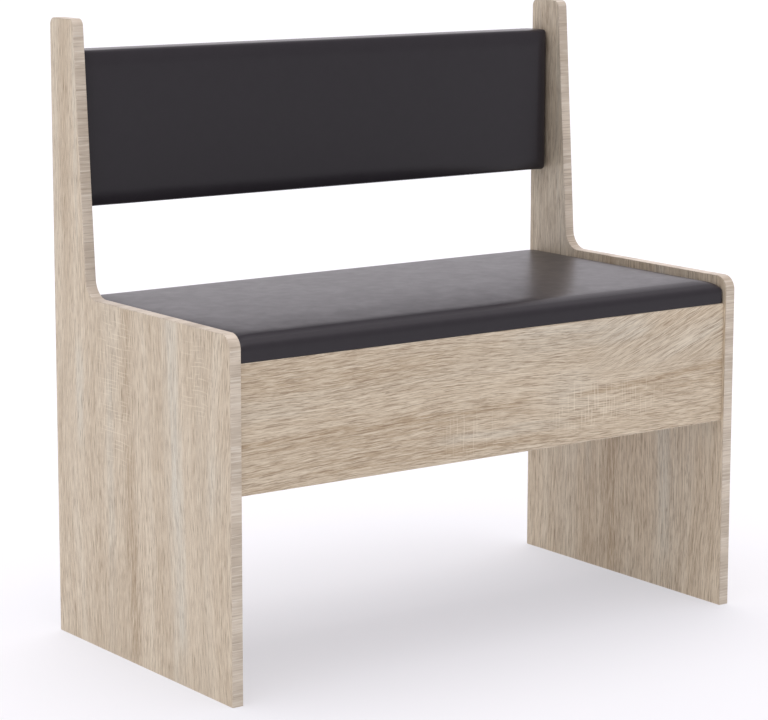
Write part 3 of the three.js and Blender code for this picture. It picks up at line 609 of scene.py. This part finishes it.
LEATHER_BLACK = colour(44, 41, 45)
LEATHER_WORN = colour(48, 45, 49)
LEATHER_ROUGHNESS = 0.26
LEATHER_ROUGHER = 0.10
LEATHER_RELIEF = (0.5, 0.00013)
leather, leather_tree, leather_shader = new_material("black_leatherette", {"IOR": 1.33})
leather_place = object_place(leather_tree)
pebble = add_node(leather_tree, "TexVoronoi", {"feature": "SMOOTH_F1"},
                  {"Vector": leather_place, "Scale": 560.0, "Smoothness": 0.5}).outputs["Distance"]
handling = patches(leather_tree, leather_place, (60, 60, 60), 2, 0.5)
leather_tree.links.new(mixed(leather_tree, handling, LEATHER_BLACK, LEATHER_WORN),
                       leather_shader.inputs["Base Color"])
leather_tree.links.new(sums(leather_tree, "MULTIPLY_ADD", handling, LEATHER_ROUGHER, LEATHER_ROUGHNESS),
                       leather_shader.inputs["Roughness"])
leather_height = sums(leather_tree, "MULTIPLY_ADD", handling, 0.5, pebble)
give_bump(leather_tree, leather_shader, leather_height, *LEATHER_RELIEF)

knit = clouded_material("cover_backing", (1600, 1600, 1600), colour(150, 146, 142), colour(206, 202, 196),
                        {"Roughness": 0.95}, detail=1, breakup=0.5)

TINY = 0.00005


def pick_edges(piece, wanted):
    """Selects, in edit mode, only the edges whose middle and run are wanted."""
    edit = bmesh.from_edit_mesh(piece.data)
    for face in edit.faces:
        face.select = False
    for edge in edit.edges:
        first, last = edge.verts[0].co, edge.verts[1].co
        edge.select = wanted((first + last) / 2, last - first)
    edit.select_flush_mode()
    bmesh.update_edit_mesh(piece.data)


def pick_faces(piece, wanted):
    """Selects, in edit mode, only the faces whose corners are all wanted."""
    edit = bmesh.from_edit_mesh(piece.data)
    for edge in edit.edges:
        edge.select = False
    for face in edit.faces:
        face.select = all(wanted(corner.co) for corner in face.verts)
    edit.select_flush_mode()
    bmesh.update_edit_mesh(piece.data)


def cut_across(point, direction, **options):
    """Cuts the whole mesh, in edit mode, by a plane through a point and square to a direction."""
    bpy.ops.mesh.select_all(action="SELECT")
    bpy.ops.mesh.bisect(plane_co=point, plane_no=direction, **options)


COVER_HEM = 0.025
CUT_PITCH = 0.010
FINEST_STEP = 0.001
ROLL_TURNS = (0, 15, 30, 45, 60, 75)


def edge_steps(rolls):
    """Distances from a pad's side at which it is cut, close together where its rolls are steep."""
    steps = [COVER_HEM]
    for reach, _ in rolls:
        steps += [reach * (1 - sin(radians(turn))) for turn in ROLL_TURNS]
    spaced = []
    for step in sorted(steps):
        apart = step > FINEST_STEP and (not spaced or step - spaced[-1] > FINEST_STEP)
        if step == COVER_HEM or (apart and abs(step - COVER_HEM) > FINEST_STEP):
            spaced.append(step)
    return spaced


def grid_lines(low, high, rolls):
    """Places for cuts across a pad: fine steps near both ends, and an even pitch between them."""
    steps = edge_steps(rolls)
    first, last = low + steps[-1], high - steps[-1]
    count = max(round((last - first) / CUT_PITCH), 1)
    middle = [first + (last - first) * i / count for i in range(count + 1)]
    return [low + step for step in steps[:-1]] + middle + [high - step for step in steps[:-1]]


def fall(distance, rolls):
    """How far a pad's face has dropped at a distance from its side: a gentle roll and a round one, added."""
    (soft_reach, soft_depth), (round_reach, round_depth) = rolls
    soft = max(1 - distance / soft_reach, 0)
    steep = min(max(1 - distance / round_reach, 0), 1)
    return soft_depth * soft ** 2 + round_depth * (1 - sqrt(1 - steep ** 2))


BOARD_EDGE_ROUND = 0.003
PLAN_ROUND_STEPS = 3
SIDE_CUTS = (0.4, 0.7)


def pad_block(name, low, high, long_rolls, end_rolls, plan_radius, overhang):
    """A closed block, its board side down, its face rolled off towards its long sides and its ends."""
    bpy.ops.object.select_all(action="DESELECT")
    bpy.ops.mesh.primitive_cube_add(size=1, location=(low + high) / 2, scale=high - low)
    block = bpy.context.object
    block.name = name
    bpy.ops.object.transform_apply(location=True, rotation=True, scale=True)
    bpy.ops.object.mode_set(mode="EDIT")
    bpy.ops.mesh.select_mode(type="EDGE")
    pick_edges(block, lambda middle, run: abs(run.z) > TINY)
    bpy.ops.mesh.bevel(offset=plan_radius, segments=PLAN_ROUND_STEPS, affect="EDGES")
    for x in grid_lines(low.x, high.x, end_rolls):
        cut_across((x, 0, 0), (1, 0, 0))
    for y in grid_lines(low.y, high.y, long_rolls):
        cut_across((0, y, 0), (0, 1, 0))
    tall = high.z - low.z
    for rise in (BOARD_EDGE_ROUND, tall * SIDE_CUTS[0], tall * SIDE_CUTS[1]):
        cut_across((0, 0, low.z + rise), (0, 0, 1))
    bpy.ops.mesh.select_all(action="SELECT")
    bpy.ops.mesh.remove_doubles(threshold=MERGE_DISTANCE)
    bpy.ops.mesh.normals_make_consistent(inside=False)
    bpy.ops.object.mode_set(mode="OBJECT")
    for vertex in block.data.vertices:
        place = vertex.co
        from_end = min(place.x - low.x, high.x - place.x)
        from_side = min(place.y - low.y, high.y - place.y)
        drop = sqrt(fall(from_end, end_rolls) ** 2 + fall(from_side, long_rolls) ** 2)
        height_share = (place.z - low.z) / tall
        near_side = max(1 - from_side / COVER_HEM, 0)
        outward = 1 if place.y > (low.y + high.y) / 2 else -1
        place.y += outward * overhang * near_side * min(2 * height_share, 1)
        place.z = low.z + height_share * (tall - drop)
    return block


PAD_PRESSURE = 4
PAD_FRAMES = 20
CLOTH_STEPS = 6
COVER_STIFFNESS = 2
DENT_DEPTH = 0.0003
DENTS_PER_METRE = 13


def stretch_cover(pad, low, most_rise, most_side):
    """Lets the foam press the cover out, its board side held, and scales how far the points have moved."""
    at_rest = [vertex.co.copy() for vertex in pad.data.vertices]
    held = pad.vertex_groups.new(name="held")
    held.add([i for i, place in enumerate(at_rest) if place.z < low.z + TINY], 1.0, "REPLACE")
    cloth = pad.modifiers.new("stretched_cover", "CLOTH")
    cloth.settings.quality = CLOTH_STEPS
    cloth.settings.use_pressure = True
    cloth.settings.uniform_pressure_force = PAD_PRESSURE
    cloth.settings.effector_weights.gravity = 0
    cloth.settings.vertex_group_mass = held.name
    cloth.settings.bending_stiffness = COVER_STIFFNESS
    cloth.collision_settings.use_collision = False
    for step in range(1, PAD_FRAMES + 1):
        bpy.context.scene.frame_set(step)
    bpy.ops.object.modifier_apply(modifier=cloth.name)
    bpy.context.scene.frame_set(1)
    shifts = [vertex.co - start for vertex, start in zip(pad.data.vertices, at_rest)]
    rise_share = most_rise / max(abs(shift.z) for shift in shifts)
    side_share = most_side / max(max(abs(shift.x), abs(shift.y)) for shift in shifts)
    for vertex, start, shift in zip(pad.data.vertices, at_rest, shifts):
        loose = min(abs(shift.z) * rise_share / DENT_DEPTH, 1)
        dent = DENT_DEPTH * noise.noise(start * DENTS_PER_METRE) * loose
        vertex.co = start + Vector((shift.x * side_share, shift.y * side_share, shift.z * rise_share + dent))


FOAM_STEP = 0.0013
COVER_THICKNESS = 0.001
HEM_SLACK = COVER_HEM / 10


def foam_inside(pad, name, board_face):
    """The foam under the cover: the pad's form, a cover's thickness smaller, from the board's face up."""
    pick(pad)
    bpy.ops.object.duplicate()
    inside = bpy.context.object
    inside.name = name
    bpy.ops.object.mode_set(mode="EDIT")
    bpy.ops.mesh.select_all(action="SELECT")
    bpy.ops.transform.shrink_fatten(value=-FOAM_STEP)
    cut_across((0, 0, board_face), (0, 0, -1), use_fill=True, clear_outer=True)
    bpy.ops.object.mode_set(mode="OBJECT")
    coat(inside, foam_material)
    return inside


def open_board_side(pad, low, high):
    """Cuts the pad's form open inside the hem and gives the cover its thickness and its knitted backing."""
    pick(pad)
    rounder = pad.modifiers.new("smooth_skin", "SUBSURF")
    rounder.levels = 1
    rounder.render_levels = 1
    bpy.ops.object.modifier_apply(modifier=rounder.name)
    bpy.ops.object.mode_set(mode="EDIT")
    bpy.ops.mesh.select_mode(type="FACE")
    inset = Vector((COVER_HEM - HEM_SLACK, COVER_HEM - HEM_SLACK))
    open_low, open_high = low.xy + inset, high.xy - inset
    pick_faces(pad, lambda place: place.z < low.z + 10 * TINY and open_low.x < place.x < open_high.x
               and open_low.y < place.y < open_high.y)
    bpy.ops.mesh.delete(type="FACE")
    bpy.ops.object.mode_set(mode="OBJECT")
    wall = pad.modifiers.new("cover_thickness", "SOLIDIFY")
    wall.thickness = COVER_THICKNESS
    wall.offset = -1
    wall.material_offset = 1
    wall.material_offset_rim = 1
    coat(pad, leather, knit)
    bpy.ops.object.modifier_apply(modifier=wall.name)
    bpy.ops.object.shade_smooth()


STAPLE_CROWN = 0.012
STAPLE_WIRE = 0.0012
STAPLE_LEG = 0.004
STAPLE_PITCH = 0.045


def new_staple():
    """One staple at the origin, a bridge of flat wire with its two legs up."""
    bpy.ops.object.select_all(action="DESELECT")
    bpy.ops.mesh.primitive_cube_add(size=1, scale=(STAPLE_CROWN, STAPLE_WIRE, STAPLE_WIRE / 2))
    bpy.ops.object.transform_apply(location=True, rotation=True, scale=True)
    staple = bpy.context.object
    leg_inside = STAPLE_CROWN / 2 - STAPLE_WIRE
    bpy.ops.object.mode_set(mode="EDIT")
    for end in (-1, 1):
        cut_across((end * leg_inside, 0, 0), (1, 0, 0))
    bpy.ops.mesh.select_mode(type="FACE")
    pick_faces(staple, lambda place: place.z > 0 and abs(place.x) > leg_inside - TINY)
    bpy.ops.mesh.extrude_region_move(TRANSFORM_OT_translate={"value": (0, 0, STAPLE_LEG)})
    bpy.ops.mesh.select_all(action="SELECT")
    bpy.ops.mesh.normals_make_consistent(inside=False)
    bpy.ops.object.mode_set(mode="OBJECT")
    return staple


def staple_row(name, low, high, face, inset):
    """Staples in a row round the hem on the board side, their legs in the board."""
    corners = [Vector((low.x + inset, low.y + inset)), Vector((high.x - inset, low.y + inset)),
               Vector((high.x - inset, high.y - inset)), Vector((low.x + inset, high.y - inset))]
    made = []
    for i, start in enumerate(corners):
        run = corners[(i + 1) % 4] - start
        count = round(run.length / STAPLE_PITCH)
        for k in range(count):
            middle = start + run * (k + 0.5) / count
            staple = new_staple()
            staple.data.transform(Matrix.Rotation(atan2(run.y, run.x), 4, "Z"))
            staple.data.transform(Matrix.Translation((middle.x, middle.y, face)))
            made.append(staple)
    pick(made[0])
    for staple in made:
        staple.select_set(True)
    bpy.ops.object.join()
    row = bpy.context.object
    row.name = name
    coat(row, steel)
    return row


END_SWELL = 0.0009


def padded_board(name, low, high, long_rolls, end_rolls, plan_radius, overhang, crown, board_face):
    """The cover and foam of one padded board, lying with its board side down."""
    cover = pad_block(name + "_cover_skin", low, high, long_rolls, end_rolls, plan_radius, overhang)
    stretch_cover(cover, low, crown, END_SWELL)
    foam_pad = foam_inside(cover, name + "_foam_pad", board_face)
    open_board_side(cover, low, high)
    return cover, foam_pad


# The backrest is made lying, its board side down, and then turned upright.
BACKREST_LONG_ROLLS = ((0.022, 0.005), (0.004, 0.003))
BACKREST_END_ROLLS = ((0.030, 0.001), (0.024, 0.011))
BACKREST_PLAN_RADIUS = 0.010
BACKREST_OVERHANG = 0.0007
BACKREST_CROWN = 0.001
STAPLE_INSET = 0.017
rest_low, rest_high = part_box("backrest_cover")
rest_board_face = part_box("backrest_board")[0].y
lying_low = Vector((rest_low.x, rest_low.z, -rest_high.y))
lying_high = Vector((rest_high.x, rest_high.z, -rest_low.y))
backrest_cover, backrest_foam = padded_board(
    "backrest", lying_low, lying_high, BACKREST_LONG_ROLLS, BACKREST_END_ROLLS, BACKREST_PLAN_RADIUS,
    BACKREST_OVERHANG, BACKREST_CROWN, -rest_board_face)
backrest_staples = staple_row("backrest_staples", lying_low, lying_high, lying_low.z, STAPLE_INSET)
for piece in (backrest_cover, backrest_foam, backrest_staples):
    piece.data.transform(Matrix.Rotation(pi / 2, 4, "X"))
    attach(piece, "bench_body")
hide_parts("backrest_cover")
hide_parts("backrest_foam")

# Padded seat lid
# A 12 mm chipboard with thin foam on top, wrapped in the same imitation leather. The cover goes over the
# rounded edges, is turned 25 mm under the board and stapled.
SEAT_LONG_ROLLS = ((0.090, 0.001), (0.036, 0.014))
SEAT_END_ROLLS = ((0.060, 0.001), (0.040, 0.0065))
SEAT_PLAN_RADIUS = 0.003
SEAT_OVERHANG = 0
SEAT_CROWN = 0.0012
seat_low, seat_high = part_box("seat_cover")
seat_cover, seat_foam = padded_board(
    "seat", seat_low, seat_high, SEAT_LONG_ROLLS, SEAT_END_ROLLS, SEAT_PLAN_RADIUS, SEAT_OVERHANG, SEAT_CROWN,
    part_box("seat_board")[1].z)
seat_staples = staple_row("seat_staples", seat_low, seat_high, seat_low.z, STAPLE_INSET)
for piece in (seat_cover, seat_foam, seat_staples):
    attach(piece, "seat_lid")
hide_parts("seat_cover")
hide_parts("seat_foam")

# Lid hinges
# Two plated steel butt hinges join the lid to the back panel. Their leaves are rolled round a headed pin,
# and each leaf is held by two countersunk cross-head screws.
HINGE_EDGE = 0.00015
for side in ("left", "right"):
    for part, body in (("fixed", "bench_body"), ("lid", "seat_lid")):
        leaf = eased_copy(f"{side}_hinge_{part}_leaf", body, steel, HINGE_EDGE)
        for number in (1, 2):
            screw = eased_copy(f"{side}_hinge_{part}_screw_{number}", body, steel, HINGE_EDGE, 1)
    eased_copy(f"{side}_hinge_pin", "bench_body", steel, HINGE_EDGE)
